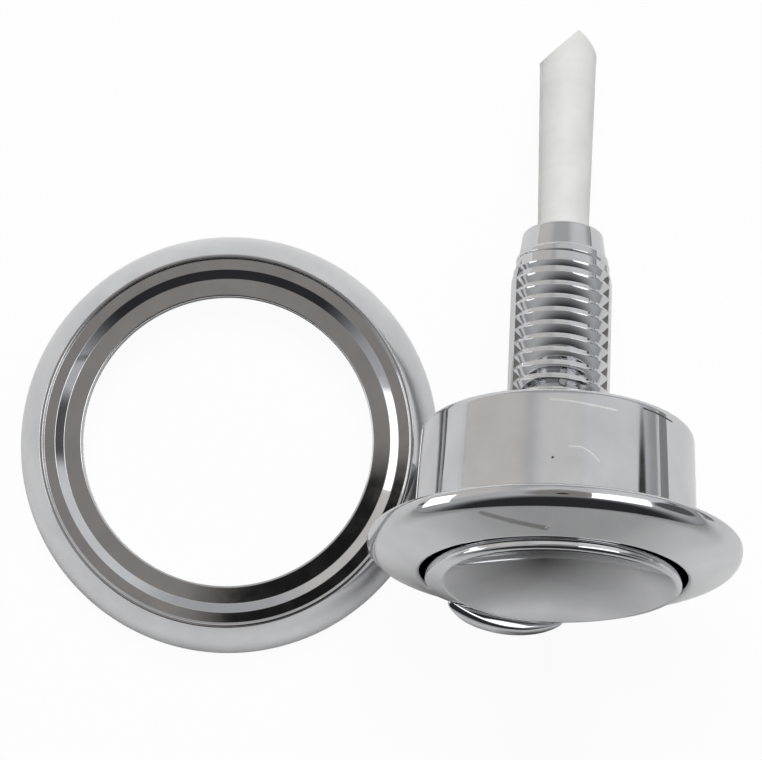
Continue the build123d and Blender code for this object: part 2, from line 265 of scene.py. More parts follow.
def to_mesh(name, shape, place):
    """The shape as a mesh in the row frame, closed and facing outwards."""
    mesh = bpy.data.meshes.new(name)
    mesh.from_pydata([place @ point for point in shape.points], [], shape.faces)
    close_up(mesh)
    return mesh


def to_piece(name, meshes, material, body, node):
    """One object out of some meshes, which stands for a CAD node and rides on its body."""
    whole = bmesh.new()
    for mesh in meshes:
        whole.from_mesh(mesh)
    mesh = bpy.data.meshes.new(name)
    whole.to_mesh(mesh)
    whole.free()
    mesh.shade_smooth()
    mesh.set_sharp_from_angle(angle=SHARP_ANGLE)
    piece = bpy.data.objects.new(name, mesh)
    bpy.context.scene.collection.objects.link(piece)
    mesh.materials.append(material)
    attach(piece, body)
    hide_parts(node)
    print(name, "has", len(mesh.polygons), "faces")
    return piece


# %% [markdown]
# ## Materials
# Chrome is a mirror, so its look is mostly what it reflects. A little uneven roughness
# and a soft ripple keep it from looking like a computed mirror, as plating on moulded
# plastic does. The rods are plain white plastic, and the springs drawn steel wire.

# %% Nodes, and a noise that reads the object's own coordinates
NOISE_RANGE = (0.3, 0.7)


def add_node(tree, kind, inputs=None, **settings):
    """Adds a node, with values or other nodes' outputs for its inputs, and gives its outputs."""
    node = tree.nodes.new(kind)
    for key, value in settings.items():
        setattr(node, key, value)
    for key, value in (inputs or {}).items():
        if isinstance(value, bpy.types.NodeSocket):
            tree.links.new(value, node.inputs[key])
        else:
            node.inputs[key].default_value = value
    return node.outputs


def noise(tree, scale, detail=3.0):
    place = add_node(tree, "ShaderNodeTexCoord")
    inputs = {"Vector": place["Object"], "Scale": scale, "Detail": detail}
    return add_node(tree, "ShaderNodeTexNoise", inputs)["Fac"]


def ramp(tree, value, *stops):
    """A colour ramp through (position, colour) stops."""
    node = tree.nodes.new("ShaderNodeValToRGB")
    while len(node.color_ramp.elements) < len(stops):
        node.color_ramp.elements.new(0.5)
    for element, (position, colour) in zip(node.color_ramp.elements, stops):
        element.position = position
        element.color = (*colour, 1)
    tree.links.new(value, node.inputs["Fac"])
    return node.outputs["Color"]


def spread(tree, value, low, high, source=NOISE_RANGE):
    """Brings a value from its source range to low..high."""
    inputs = {"Value": value, "To Min": low, "To Max": high}
    inputs["From Min"], inputs["From Max"] = source
    return add_node(tree, "ShaderNodeMapRange", inputs)["Result"]


# %% Chrome, white plastic and spring steel
TONE_STOPS = (0.35, 0.65)
ROUGH_DETAIL, BUMP_DETAIL = 5.0, 2.0


def surface(name, metallic, tones, tone_scale, roughness, rough_scale, bump_scale, bump_depth):
    """A material whose tone, roughness and relief all vary a little over the piece."""
    material = bpy.data.materials.new(name)
    material.use_nodes = True
    tree = material.node_tree
    shader = tree.nodes["Principled BSDF"]
    shader.inputs["Metallic"].default_value = metallic
    tone = ramp(tree, noise(tree, tone_scale), *zip(TONE_STOPS, tones))
    tree.links.new(tone, shader.inputs["Base Color"])
    dullness = spread(tree, noise(tree, rough_scale, ROUGH_DETAIL), *roughness)
    tree.links.new(dullness, shader.inputs["Roughness"])
    bump_inputs = {"Distance": bump_depth, "Height": noise(tree, bump_scale, BUMP_DETAIL)}
    relief = add_node(tree, "ShaderNodeBump", bump_inputs)
    tree.links.new(relief["Normal"], shader.inputs["Normal"])
    return material


CHROME_TONES = ((0.66, 0.665, 0.68), (0.73, 0.735, 0.745))
WHITE_TONES = ((0.76, 0.76, 0.745), (0.81, 0.81, 0.80))
STEEL_TONES = ((0.42, 0.42, 0.43), (0.55, 0.55, 0.56))
chrome = surface(
    "chrome_plate", metallic=1.0, tones=CHROME_TONES, tone_scale=160,
    roughness=(0.035, 0.075), rough_scale=420, bump_scale=60, bump_depth=2e-5,
)
plastic = surface(
    "white_plastic", metallic=0.0, tones=WHITE_TONES, tone_scale=240,
    roughness=(0.38, 0.5), rough_scale=900, bump_scale=1600, bump_depth=1.5e-5,
)
steel = surface(
    "spring_steel", metallic=1.0, tones=STEEL_TONES, tone_scale=900,
    roughness=(0.22, 0.36), rough_scale=2400, bump_scale=3000, bump_depth=5e-6,
)
print("materials:", chrome.name, plastic.name, steel.name)

# %% [markdown]
# ## Wear, and a dent's painted shade
# The plating in the photograph has a few marks: a pit and a curved scratch on the body, a
# scuffed back edge, a scratch on the flange, and a dent in the flange whose shade is painted
# as a wide dull grey band. Each is a chain of short lines in the button's own frame, and the
# chrome is duller and of another tone near them.

# %% Marks in the chrome
# The middle one of these three tones is the painted shade of a dent in the flange.
DARK, DENT_SHADE_TONE, LIGHT = (0.1, 0.095, 0.09), (0.46, 0.455, 0.45), (0.95, 0.94, 0.92)
MARK_ROUGHNESS, MARK_CORE = 0.4, 0.4
PIT = ((-16.69, -8.7, -5.47), (-16.65, -8.78, -5.42))
CURVED_SCRATCH = (
    (-17.5, -6.8, -7.1), (-18.0, -5.3, -7.1), (-18.3, -4.2, -6.5), (-18.6, -3.1, -5.4),
)
BACK_SCUFF = (
    (-16.2, -9.1, -13.5), (-17.4, -6.6, -13.3), (-18.2, -3.8, -13.0), (-18.6, -0.8, -12.8),
)
# A dent in the flange: its shade is painted as a wide dull grey band.
FLANGE_DENT_SHADE = ((-14.9, -17.5, 3.1), (-16.0, -13.8, 3.8), (-17.2, -9.7, 4.3))
FLANGE_SCRATCH = ((-17.2, -9.7, 4.3), (-19.0, -9.5, 3.8))
BACK_CHIP = ((-18.2, 3.4, -14.0), (-17.6, 5.8, -13.9), (-16.5, 8.6, -13.7))
MARKS = (
    (0.2, DARK, PIT), (0.13, LIGHT, CURVED_SCRATCH), (0.17, LIGHT, BACK_SCUFF),
    (0.6, DENT_SHADE_TONE, FLANGE_DENT_SHADE), (0.18, LIGHT, FLANGE_SCRATCH), (0.16, DARK, BACK_CHIP),
)


def add_mark(tree, start, end, width, colour):
    """Changes tone and roughness near the line from start to end."""
    shader = tree.nodes["Principled BSDF"]
    first = button_place @ Vector(start)
    run = button_place @ Vector(end) - first

    def vector(operation, inputs):
        return add_node(tree, "ShaderNodeVectorMath", inputs, operation=operation)

    place = add_node(tree, "ShaderNodeTexCoord")
    from_first = vector("SUBTRACT", {0: place["Object"], 1: first})["Vector"]
    share = vector("DOT_PRODUCT", {0: from_first, 1: run / run.length_squared})["Value"]
    clamped = add_node(tree, "ShaderNodeClamp", {"Value": share})["Result"]
    foot = vector("SCALE", {0: run, "Scale": clamped})["Vector"]
    gap = vector("DISTANCE", {0: from_first, 1: foot})["Value"]
    mask = spread(tree, gap, 1.0, 0.0, (width * MM * MARK_CORE, width * MM))
    changes = (("Base Color", "RGBA", (*colour, 1)), ("Roughness", "FLOAT", MARK_ROUGHNESS))
    for socket, kind, value in changes:
        before = shader.inputs[socket].links[0].from_socket
        mix_inputs = {"Factor": mask, "A": before, "B": value}
        mix = add_node(tree, "ShaderNodeMix", mix_inputs, data_type=kind)
        tree.links.new(mix["Result"], shader.inputs[socket])


for width, colour, points in MARKS:
    for start, end in zip(points, points[1:]):
        add_mark(chrome.node_tree, start, end, width, colour)
print("the chrome has", len(MARKS), "marks")

# %% [markdown]
# ## A coil, as a node tree
# The thread and the springs are the same thing: a section that follows a helix. One
# Geometry Nodes tree makes both from named inputs. The section is a polygon with rounded
# corners, and it can swell from nothing at the ends, as a thread runs out.

# %% The coil tree's inputs
COIL_INPUTS = (
    ("Turns", "Float"), ("Coil Radius", "Float"), ("Height", "Float"), ("Points Per Turn", "Int"),
    ("Section Points", "Int"), ("Section Across", "Float"), ("Section Along", "Float"),
    ("Section Turn", "Float"), ("Section Taper", "Float"), ("Section Lean", "Float"),
    ("Section Round", "Float"), ("Run Out", "Float"), ("Material", "Material"),
)
coil = bpy.data.node_groups.new("coil", "GeometryNodeTree")
for name, kind in COIL_INPUTS:
    coil.interface.new_socket(name, in_out="INPUT", socket_type=f"NodeSocket{kind}")
coil.interface.new_socket("Geometry", in_out="OUTPUT", socket_type="NodeSocketGeometry")
given = add_node(coil, "NodeGroupInput")
print("the coil has", len(COIL_INPUTS), "inputs")

# %% The helix, and how the section swells along it
LEAST_SWELL = 0.02


def coil_maths(operation, *values):
    return add_node(coil, "ShaderNodeMath", dict(enumerate(values)), operation=operation)["Value"]


helix = add_node(coil, "GeometryNodeCurveSpiral", {
    "Resolution": given["Points Per Turn"], "Rotations": given["Turns"], "Height": given["Height"],
    "Start Radius": given["Coil Radius"], "End Radius": given["Coil Radius"],
})
upright = add_node(coil, "GeometryNodeSetCurveNormal", {"Curve": helix["Curve"]}, mode="Z_UP")
from_start = add_node(coil, "GeometryNodeSplineParameter")["Factor"]
from_end = coil_maths("SUBTRACT", 1.0, from_start)
swells = []
for run in (from_start, from_end):
    inputs = {"Value": run, "From Max": given["Run Out"], "To Min": LEAST_SWELL}
    swells.append(add_node(coil, "ShaderNodeMapRange", inputs)["Result"])
swell = coil_maths("MULTIPLY", *swells)
print("the helix is wired with", len(coil.links), "links")

# %% The section, a polygon that is turned, stretched, tapered, leant and rounded
FILLET_STEPS = 4
polygon_inputs = {"Resolution": given["Section Points"], "Radius": 1.0}
polygon = add_node(coil, "GeometryNodeCurvePrimitiveCircle", polygon_inputs)
angle = add_node(coil, "ShaderNodeCombineXYZ", {"Z": given["Section Turn"]})
turn_inputs = {"Geometry": polygon["Curve"], "Rotation": angle["Vector"]}
turned = add_node(coil, "GeometryNodeTransform", turn_inputs)
stretch_inputs = {"X": given["Section Across"], "Y": given["Section Along"], "Z": 1.0}
stretch = add_node(coil, "ShaderNodeCombineXYZ", stretch_inputs)
section_inputs = {"Geometry": turned["Geometry"], "Scale": stretch["Vector"]}
section = add_node(coil, "GeometryNodeTransform", section_inputs)
place = add_node(coil, "GeometryNodeInputPosition")
parts = add_node(coil, "ShaderNodeSeparateXYZ", {"Vector": place["Position"]})
product = coil_maths("MULTIPLY", parts["X"], parts["Y"])
narrow = coil_maths("MULTIPLY", product, given["Section Taper"])
shift = coil_maths("MULTIPLY_ADD", parts["X"], given["Section Lean"], narrow)
offset = add_node(coil, "ShaderNodeCombineXYZ", {"Y": shift})
taper_inputs = {"Geometry": section["Geometry"], "Offset": offset["Vector"]}
tapered = add_node(coil, "GeometryNodeSetPosition", taper_inputs)
soft_section = add_node(coil, "GeometryNodeFilletCurve", {
    "Curve": tapered["Geometry"], "Radius": given["Section Round"],
    "Count": FILLET_STEPS, "Limit Radius": True,
}, mode="POLY")
print("the section is wired with", len(coil.links), "links in all")

# %% The sweep
sweep = add_node(coil, "GeometryNodeCurveToMesh", {
    "Curve": upright["Curve"], "Profile Curve": soft_section["Curve"], "Scale": swell,
    "Fill Caps": True,
})
real = add_node(coil, "GeometryNodeRealizeInstances", {"Geometry": sweep["Mesh"]})
paint_inputs = {"Geometry": real["Geometry"], "Material": given["Material"]}
painted = add_node(coil, "GeometryNodeSetMaterial", paint_inputs)
add_node(coil, "NodeGroupOutput", {"Geometry": painted["Geometry"]})
print("the coil tree has", len(coil.nodes), "nodes")

# %% A coil as a mesh
def coil_mesh(name, place, **inputs):
    """Runs the coil tree with these inputs and bakes it, laid down at its place."""
    holder = bpy.data.objects.new(name, bpy.data.meshes.new(name))
    bpy.context.scene.collection.objects.link(holder)
    modifier = holder.modifiers.new("coil", "NODES")
    modifier.node_group = coil
    for socket in coil.interface.items_tree:
        if socket.in_out == "INPUT":
            modifier[socket.identifier] = inputs[socket.name.lower().replace(" ", "_")]
    bpy.context.view_layer.update()
    baked = holder.evaluated_get(bpy.context.evaluated_depsgraph_get())
    mesh = bpy.data.meshes.new_from_object(baked)
    bpy.data.objects.remove(holder)
    mesh.transform(place)
    mesh.materials.clear()
    close_up(mesh)
    return mesh


# %% [markdown]
# ## Housing
# Flange, cup and stem are one moulding, so one outline turned round the axis makes them.
# The slope of the flange is tangent to its round rim and to the small lip at the opening.
# Windows in the floor let the snap legs through, and the thread is wound on the stem.

# %% The housing's outline
slope_run = FLANGE_R - RIM_FRONT - opening_r - LIP
slope_rise = FLANGE_HEIGHT - LIP - RIM_BACK
slope = acos((RIM_FRONT - LIP) / hypot(slope_run, slope_rise)) - atan2(slope_run, slope_rise)
slope_x = FLANGE_R - RIM_FRONT + RIM_FRONT * sin(slope)
slope_z = RIM_BACK + RIM_FRONT * cos(slope)
rim_corner = slope_z - (FLANGE_R - slope_x) * tan(slope)
lip_corner = slope_z + (slope_x - opening_r) * tan(slope)
nose_top = stem_end + NOSE_LENGTH
housing_corners = (
    (STEM_BORE_R, floor_level, SMALL_ROUND),
    (STEM_BORE_R, stem_end, SMALL_ROUND),
    (NOSE_END_R, stem_end, NOSE_EDGE),
    (NOSE_BASE_R, nose_top, SMALL_ROUND),
    (THREAD_CORE_R, nose_top + NOSE_EDGE, SMALL_ROUND),
    (THREAD_CORE_R, floor_back, SMALL_ROUND),
    (floor_r, floor_back, SMALL_ROUND),
    (floor_r, -BODY_DEPTH, SMALL_ROUND),
    (BODY_R - BODY_DRAFT, -BODY_DEPTH, BODY_EDGE),
    (BODY_R, 0, SMALL_ROUND),
    (FLANGE_R, 0, RIM_BACK - GUARD),
    (FLANGE_R, rim_corner, RIM_FRONT - GUARD),
    (opening_r, lip_corner, LIP),
    (floor_r, floor_level, SMALL_ROUND),
)
shell = Shape().lathe(rounded(housing_corners))
print("the flange's slope is", round(degrees(slope), 1), "degrees")

# %% Windows for the snap legs, cut with a boolean
SQUARE = ((-1, -1), (1, -1), (1, 1), (-1, 1))
CUT_PAST = 1
full_leg_x = FULL_LEG_INSET - floor_r
half_leg_x = floor_r - HALF_LEG_INSET
half_x = LEG_THICKNESS / 2 + LEG_CLEARANCE
cut_low, cut_high = floor_back - CUT_PAST, floor_level + CUT_PAST
windows = Shape()
for x, y, width in (
    (full_leg_x, FULL_LEG_SPREAD, LEG_WIDTH), (full_leg_x, -FULL_LEG_SPREAD, LEG_WIDTH),
    (half_leg_x, RIB_DISTANCE, RIB_THICKNESS), (half_leg_x, -RIB_DISTANCE, RIB_THICKNESS),
):
    half_y = width / 2 + LEG_CLEARANCE
    corners = [(x + a * half_x, y + b * half_y, cut_low) for a, b in SQUARE]
    windows.prism(corners, (0, 0, cut_high - cut_low))
shell_holder = bpy.data.objects.new("shell", to_mesh("shell", shell, button_place))
cutter = bpy.data.objects.new("cutter", to_mesh("cutter", windows, button_place))
for helper in (shell_holder, cutter):
    bpy.context.scene.collection.objects.link(helper)
cut = shell_holder.modifiers.new("windows", "BOOLEAN")
cut.operation = "DIFFERENCE"
cut.solver = "EXACT"
cut.object = cutter
bpy.context.view_layer.update()
baked_shell = shell_holder.evaluated_get(bpy.context.evaluated_depsgraph_get())
shell_mesh = bpy.data.meshes.new_from_object(baked_shell)
for helper in (shell_holder, cutter):
    bpy.data.objects.remove(helper)
print("the shell has", len(shell_mesh.polygons), "faces after its windows are cut")

# %% Thread
THREAD_TURN_POINTS = 72
thread_start = nose_top + NOSE_EDGE
thread_length = floor_level - SMALL_ROUND - thread_start
thread_turns = thread_length / THREAD_PITCH
ridge_depth = STEM_R - THREAD_CORE_R + THREAD_SINK
ridge_half = ridge_depth / 2
flank_share = ridge_depth / (STEM_R - THREAD_CORE_R)
ridge_middle = THREAD_CREST / 2 + (LONG_FLANK + STEEP_FLANK) * flank_share / 4
ridge_taper = (1 - THREAD_CREST / 2 / ridge_middle) / ridge_half
ridge_lean = (STEEP_FLANK - LONG_FLANK) * flank_share / 2 / ridge_depth
thread_mesh = coil_mesh(
    "thread", button_place @ Matrix.Translation((0, 0, thread_start)),
    turns=thread_turns, coil_radius=STEM_R - ridge_half, height=thread_length,
    points_per_turn=THREAD_TURN_POINTS, section_points=4,
    section_across=ridge_half * sqrt(2), section_along=ridge_middle * sqrt(2), section_turn=pi / 4,
    section_taper=ridge_taper, section_lean=ridge_lean, section_round=THREAD_ROUND,
    run_out=THREAD_LEAD / thread_length, material=chrome,
)
print("the thread has", round(thread_turns, 1), "turns")

# %% Plain lands across the thread
LAND_STEPS = 12
land_levels = ((nose_top, NOSE_BASE_R), (nose_top + THREAD_LEAD, STEM_R), (floor_back, STEM_R))
lands = Shape()
for way in (LAND_TURN, LAND_TURN + 180):
    loops = []
    for level, radius in land_levels:
        loop = []
        for reach, start, end in ((radius, -1, 1), (LAND_INNER_R, 1, -1)):
            for k in range(LAND_STEPS + 1):
                angle = radians(way + LAND_HALF_ANGLE * (start + (end - start) * k / LAND_STEPS))
                loop.append((reach * cos(angle), reach * sin(angle), level))
        loops.append(loop)
    lands.skin(loops)
land_mesh = to_mesh("lands", lands, button_place)
print("two lands, each", round(2 * LAND_HALF_ANGLE), "degrees wide")

# %% Spring pins, and the whole housing
pins = Shape()
for y in (full_spring_y, -full_spring_y):
    pins.peg(FULL_SPRING_X, y, full_pin_r, floor_level, floor_level + PIN_LENGTH)
pins.peg(half_spring_x, 0, half_pin_r, floor_level, floor_level + PIN_LENGTH)
pin_mesh = to_mesh("pins", pins, button_place)
housing_meshes = (shell_mesh, thread_mesh, land_mesh, pin_mesh)
to_piece("housing_shell", housing_meshes, chrome, "housing", "housing")

# %% [markdown]
# ## Adaptor ring
# The ring is a shell too: a bulged cone outside, a narrow crest, then a ledge for the
# flange, a step and a flat bed round the hole. Its section is one rounded outline.

# %% The ring's outline, turned
recess_r = FLANGE_R + RECESS_CLEARANCE
crest_r = recess_r + CREST_WIDTH
ring_r = crest_r + DOME_WIDTH
step_r = recess_r - LEDGE_WIDTH
bed_r = step_r - STEP_WIDTH
ring_hole_r = bed_r - BED_WIDTH
ledge_level = RING_HEIGHT - RECESS_DEPTH
bed_level = ledge_level - STEP_DEPTH
dome_chord = Vector((crest_r - ring_r, RING_HEIGHT - RING_FOOT))
dome_normal = Vector((dome_chord.y, -dome_chord.x)).normalized()
DOME_STEPS = 16
dome_points = []
for i in range(1, DOME_STEPS):
    part = i / DOME_STEPS
    bulge = 4 * part * (1 - part) * RING_BULGE
    point = Vector((ring_r, RING_FOOT)) + dome_chord * part + dome_normal * bulge
    dome_points.append((point.x, point.y, 0))
ring_corners = [
    (ring_r, 0, RING_CORNER),
    (ring_r, RING_FOOT, RING_CORNER),
    *dome_points,
    (crest_r, RING_HEIGHT, CREST_ROUND),
    (recess_r, RING_HEIGHT, CREST_ROUND),
    (recess_r, ledge_level, SMALL_ROUND),
    (step_r, ledge_level, SMALL_ROUND),
    (bed_r, bed_level, SMALL_ROUND),
    (ring_hole_r, bed_level, RING_CORNER),
    (ring_hole_r, bed_level - RING_WALL, SMALL_ROUND),
    (step_r + RING_WALL, bed_level - RING_WALL, SMALL_ROUND),
    (ring_r - RING_WALL, 0, RING_CORNER),
]
ring_mesh = to_mesh("ring", Shape().lathe(rounded(ring_corners)), ring_place)
to_piece("ring_shell", (ring_mesh,), chrome, "housing", "adaptor_ring")

# %% [markdown]
# ## The two buttons
# A button's cap is a stack of loops: the outline at the foot of its side, then a rounded
# edge, then smaller and smaller loops whose level follows a formula. The large button is a
# dome with a long shallow scoop, and the small one is the top of a wide ring.

# %% Outlines of the two caps, with their outward normals
FULL_ARC_STEPS, HALF_ARC_STEPS, CHORD_STEPS = 150, 60, 48
FULL_CORNER_STEPS, HALF_CORNER_STEPS = 8, 12


def arc_points(centre, radius, start, end, steps):
    """Points and normals along an arc, both ends included, in degrees."""
    found = []
    for k in range(steps + 1):
        angle = radians(start + (end - start) * k / steps)
        way = Vector((cos(angle), sin(angle)))
        found.append((Vector(centre) + way * radius, way))
    return found


def chord_points(x, low, high, way, steps):
    """Points and normals along a straight cut, both ends left out."""
    places = [Vector((x, low + (high - low) * k / steps)) for k in range(1, steps)]
    return [(place, Vector((way, 0))) for place in places]


def full_outline():
    """The large cap: most of a circle, and a straight cut on its split_way side."""
    corner_x = split_low - CORNER_R
    corner_y = sqrt((button_r - CORNER_R) ** 2 - corner_x**2)
    side = degrees(atan2(corner_y, corner_x))
    outline = arc_points((0, 0), button_r, side, 360 - side, FULL_ARC_STEPS)
    outline += arc_points((corner_x, -corner_y), CORNER_R, 360 - side, 360, FULL_CORNER_STEPS)[1:]
    outline += chord_points(split_low, -corner_y, corner_y, 1, CHORD_STEPS)
    outline += arc_points((corner_x, corner_y), CORNER_R, 0, side, FULL_CORNER_STEPS)[:-1]
    return outline


def half_outline():
    """The small cap: the segment that is left beyond the cut."""
    radius, steps = SEGMENT_CORNER_R, HALF_CORNER_STEPS
    corner_x = split_high + radius
    corner_y = sqrt((button_r - radius) ** 2 - corner_x**2)
    side = degrees(atan2(corner_y, corner_x))
    outline = arc_points((0, 0), button_r, -side, side, HALF_ARC_STEPS)
    outline += arc_points((corner_x, corner_y), radius, side, 180, steps)[1:]
    outline += chord_points(split_high, corner_y, -corner_y, -1, CHORD_STEPS)
    outline += arc_points((corner_x, -corner_y), radius, 180, 360 - side, steps)[:-1]
    return outline


# %% Levels of the two caps
def dish_level(x, y):
    """The scoop of the large button, an arc turned about an axis above the face."""
    reach = dish_axis_level - dish_z + sqrt(dish_radius**2 - (x - dish_x) ** 2)
    return dish_axis_level - sqrt(reach**2 - y**2)


def full_level(x, y):
    """Dome and scoop, blended where they meet."""
    dome, dish = dome_level(hypot(x, y)), dish_level(x, y)
    near = max(DISH_BLEND - abs(dome - dish), 0) / DISH_BLEND
    return min(dome, dish) - near**2 * DISH_BLEND / 4


def half_level(x, y):
    """The top of a ring that lies along the segment."""
    across = max(CREST_CROSS_R**2 - (x - crest_distance) ** 2, 0)
    reach = CREST_LENGTH_R - CREST_CROSS_R + sqrt(across)
    return crest_level - CREST_LENGTH_R + sqrt(reach**2 - y**2)


# %% A cap from its outline and its level
EDGE_STEPS, RIM_STEPS, CREASE_HALVINGS, LAST_RING = 8, 6, 24, 0.999


def crease_share(start, centre):
    """How far on the way to the centre the dome gives way to the scoop."""
    low, high = 0.0, 1.0
    for _ in range(CREASE_HALVINGS):
        share = (low + high) / 2
        place = start.lerp(centre, share)
        if dish_level(place.x, place.y) < dome_level(place.length):
            high = share
        else:
            low = share
    return high


def cap_shape(shape, outline, level, edge, centre, bottom, rings, crease=None):
    """Side, rounded edge and top of a cap, as loops that follow its crease and its centre."""
    loops = [[(p.x, p.y, bottom) for p, n in outline]]
    for k in range(EDGE_STEPS + 1):
        t = pi / 2 * k / EDGE_STEPS
        loop = []
        for p, n in outline:
            radius = edge(n)
            q = p - n * radius * (1 - cos(t))
            loop.append((q.x, q.y, level(q.x, q.y) - radius * (1 - sin(t))))
        loops.append(loop)
    starts = [Vector((x, y)) for x, y, z in loops[-1]]
    shares = [crease(start, centre) if crease else 0 for start in starts]
    stations, growth = [], 1
    if crease:
        stations = [(1 - (1 - k / RIM_STEPS) ** 2, 0) for k in range(1, RIM_STEPS + 1)]
        growth = 2
    stations += [(1, min((k / rings) ** growth, LAST_RING)) for k in range(1, rings + 1)]
    for rim_part, inner_part in stations:
        loop = []
        for start, share in zip(starts, shares):
            place = start.lerp(centre, share * rim_part + (1 - share) * inner_part)
            loop.append((place.x, place.y, level(place.x, place.y)))
        loops.append(loop)
    return shape.skin(loops)


# %% What hangs under the caps: snap legs, rod sockets and skirts
TUBE_STEPS = 24


def leg(shape, inner, side, middle_y, width, top):
    """A snap leg with its barb."""
    outer = inner + side * LEG_THICKNESS
    profile = (
        (inner, top), (outer, top), (outer, catch_level), (outer + side * BARB_REACH, catch_level),
        (outer + side * BARB_REACH, catch_level - BARB_LAND), (outer, leg_tip), (inner, leg_tip),
    )
    return shape.prism([(x, middle_y - width / 2, z) for x, z in profile], (0, width, 0))


def half_tube(shape, inner, outer, low, high, parting, side):
    """Half of a socket for a push rod, on one side of the parting."""
    points = []
    there, back = range(TUBE_STEPS + 1), range(TUBE_STEPS, -1, -1)
    for radius, steps in ((outer, there), (inner, back)):
        reach = acos(parting / radius)
        for k in steps:
            angle = reach * (2 * k / TUBE_STEPS - 1)
            points.append((side * radius * cos(angle), radius * sin(angle), low))
    return shape.prism(points, (0, 0, high - low))


def skirt(shape, start, end, low, high, steps):
    """Part of the guiding skirt under a cap."""
    wall = [p for p, n in arc_points((0, 0), button_r, start, end, steps)]
    wall += [p for p, n in arc_points((0, 0), button_r - SKIRT_WALL, end, start, steps)]
    return shape.prism([(p.x, p.y, low) for p in wall], (0, 0, high - low))


# %% The large button
FULL_RINGS, FULL_SKIRT_STEPS = 44, 120
full = Shape()


def full_edge(n):
    """The edge is smaller along the split than round the rim."""
    return SPLIT_EDGE + (BUTTON_EDGE - SPLIT_EDGE) * min(1, 2 - 2 * max(n.x, 0))


middle = Vector((dish_middle, 0))
cap_shape(full, full_outline(), full_level, full_edge, middle, CAP_UNDER, FULL_RINGS, crease_share)
skirt_end = degrees(acos(split_low / button_r))
skirt(full, skirt_end, 360 - skirt_end, CAP_UNDER - SKIRT_DEPTH, CAP_UNDER, FULL_SKIRT_STEPS)
socket_r = rod_radius(CAP_UNDER) + ROD_FIT
socket_low = CAP_UNDER - SOCKET_DEPTH
half_tube(full, socket_r, socket_r + SOCKET_WALL, socket_low, CAP_UNDER, ROD_PARTING / 2, -1)
for y in (full_spring_y, -full_spring_y):
    full.peg(FULL_SPRING_X, y, full_pin_r, CAP_UNDER - POST_LENGTH, CAP_UNDER)
for y in (FULL_LEG_SPREAD, -FULL_LEG_SPREAD):
    leg(full, full_leg_x + LEG_THICKNESS / 2, -1, y, LEG_WIDTH, CAP_UNDER)
full_mesh = to_mesh("full", full, button_place)
to_piece("full_flush_cap", (full_mesh,), chrome, "full_flush", "full_flush_button")

# %% The small button
HALF_RINGS, HALF_SKIRT_STEPS = 28, 24
half = Shape()


def half_edge(n):
    """The edge is the same all round."""
    return CREST_EDGE


crest_middle = Vector((crest_distance, 0))
cap_shape(half, half_outline(), half_level, half_edge, crest_middle, CAP_UNDER, HALF_RINGS)
rib_angle = degrees(asin(RIB_DISTANCE / button_r))
wall_end = degrees(acos(split_high / (button_r - SKIRT_WALL)))
for start, end in ((rib_angle, wall_end), (-wall_end, -rib_angle)):
    skirt(half, start, end, CAP_UNDER - SKIRT_DEPTH, CAP_UNDER, HALF_SKIRT_STEPS)
for y in (RIB_DISTANCE, -RIB_DISTANCE):
    profile = (
        (ROD_PARTING / 2, arm_top), (split_high, arm_top), (split_high, CAP_UNDER),
        (split_high + RIB_REACH, CAP_UNDER), (split_high + RIB_REACH, arm_bottom),
        (ROD_PARTING / 2, arm_bottom),
    )
    half.prism([(x, y - RIB_THICKNESS / 2, z) for x, z in profile], (0, RIB_THICKNESS, 0))
    leg(half, half_leg_x - LEG_THICKNESS / 2, 1, y, RIB_THICKNESS, arm_bottom)
arm_socket_r = rod_radius(arm_bottom) + ROD_FIT
half_tube(half, arm_socket_r, arm_socket_r + SOCKET_WALL, arm_bottom, arm_top, ROD_PARTING / 2, 1)
half.peg(half_spring_x, 0, half_pin_r, CAP_UNDER - POST_LENGTH, CAP_UNDER)
half_mesh = to_mesh("half", half, button_place)
to_piece("half_flush_cap", (half_mesh,), chrome, "half_flush", "half_flush_button")

# %% [markdown]
# ## Push rods
# Two half round rods lie back to back. Each is a stack of half rounds that widen towards
# the tip, where two slopes meet in a point off the middle. Faint ring marks from the mould
# are shallow grooves in the loops.

# %% The rods
ROUND_STEPS = 44
RING_MARK_PROFILE = ((0.5, 0), (0.2, 1), (-0.2, 1), (-0.5, 0))


def tip_roof(y):
    """How high above the tip the end of the rod is at this place across it."""
    if y < POINT_OFFSET:
        return tip_level + POINT_LONG_SIDE * (POINT_OFFSET - y) / (ROD_TIP_R + POINT_OFFSET)
    return tip_level + POINT_SHORT_SIDE * (y - POINT_OFFSET) / (ROD_TIP_R - POINT_OFFSET)


